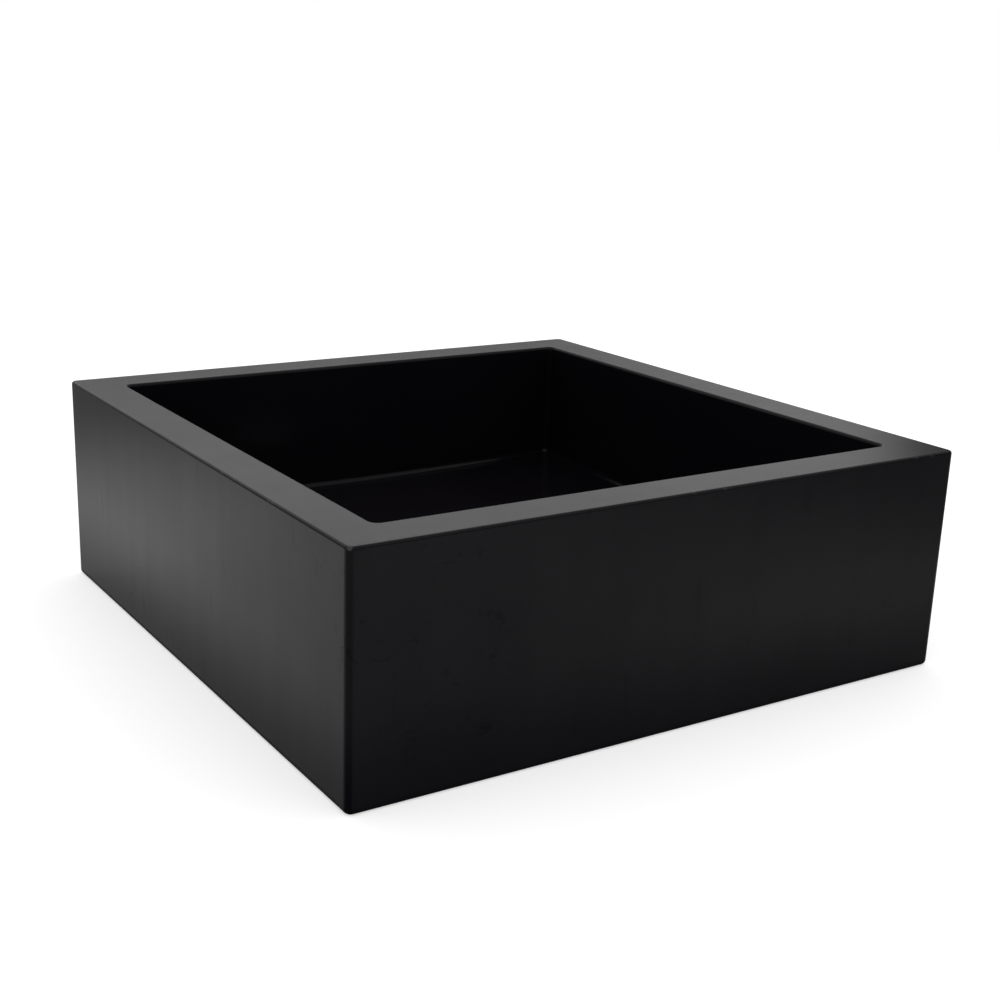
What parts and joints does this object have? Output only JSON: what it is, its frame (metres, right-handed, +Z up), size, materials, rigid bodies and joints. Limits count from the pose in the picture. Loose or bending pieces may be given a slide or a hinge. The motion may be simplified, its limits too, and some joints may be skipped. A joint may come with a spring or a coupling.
{
  "type": "countertop basin",
  "caption": "Square thick-walled matte black countertop basin with a flat rim, a coved bowl, a hollow base and a push-open waste whose domed plug is pressed to close and to open.",
  "frame": {"origin": "middle of the foot, on the counter, on the waste's axis", "axes": "+Z up along the waste's axis, -Y towards the front face, +X to the right"},
  "size_m": [0.4, 0.4, 0.135],
  "materials": {
    "cast_black": "satin",
    "chrome_plate": "polished",
    "brass": "satin",
    "black_rubber": "matte",
    "white_acetal": "satin",
    "spring_steel": "satin"
  },
  "bodies": {
    "basin": {"basin_body": "cast_black", "flange_gasket": "black_rubber", "waste_body": "chrome_plate", "basin_washer": "black_rubber", "friction_washer": "white_acetal", "back_nut": "brass", "cartridge_sleeve": "brass", "cartridge_washer": "black_rubber", "cartridge_gland": "white_acetal", "guide_pin": "spring_steel", "return_spring": "spring_steel"},
    "plug": {"plunger": "brass", "retaining_collar": "spring_steel", "jam_nut": "brass", "plug_stud": "brass", "plug_cap": "chrome_plate", "plug_seal": "black_rubber"},
    "drum": {"index_drum": "white_acetal"}
  },
  "joints": [
    {"name": "plug_press", "type": "slide", "parent": "basin", "child": "plug", "axis": [0, 0, 1], "range_m": [-0.0095, 0], "stiffness_N_per_m": 1280, "springref_m": 0.005, "deforming": ["return_spring"]},
    {"name": "drum_turn", "type": "hinge", "parent": "plug", "child": "drum", "pos_m": [0, 0, 0.0236], "axis": [0, 0, 1], "range_deg": [-50, 0]}
  ],
  "couplings": [
    {"joint": "drum_turn", "follows": "plug_press", "rad_per_m": 91.85}
  ]
}
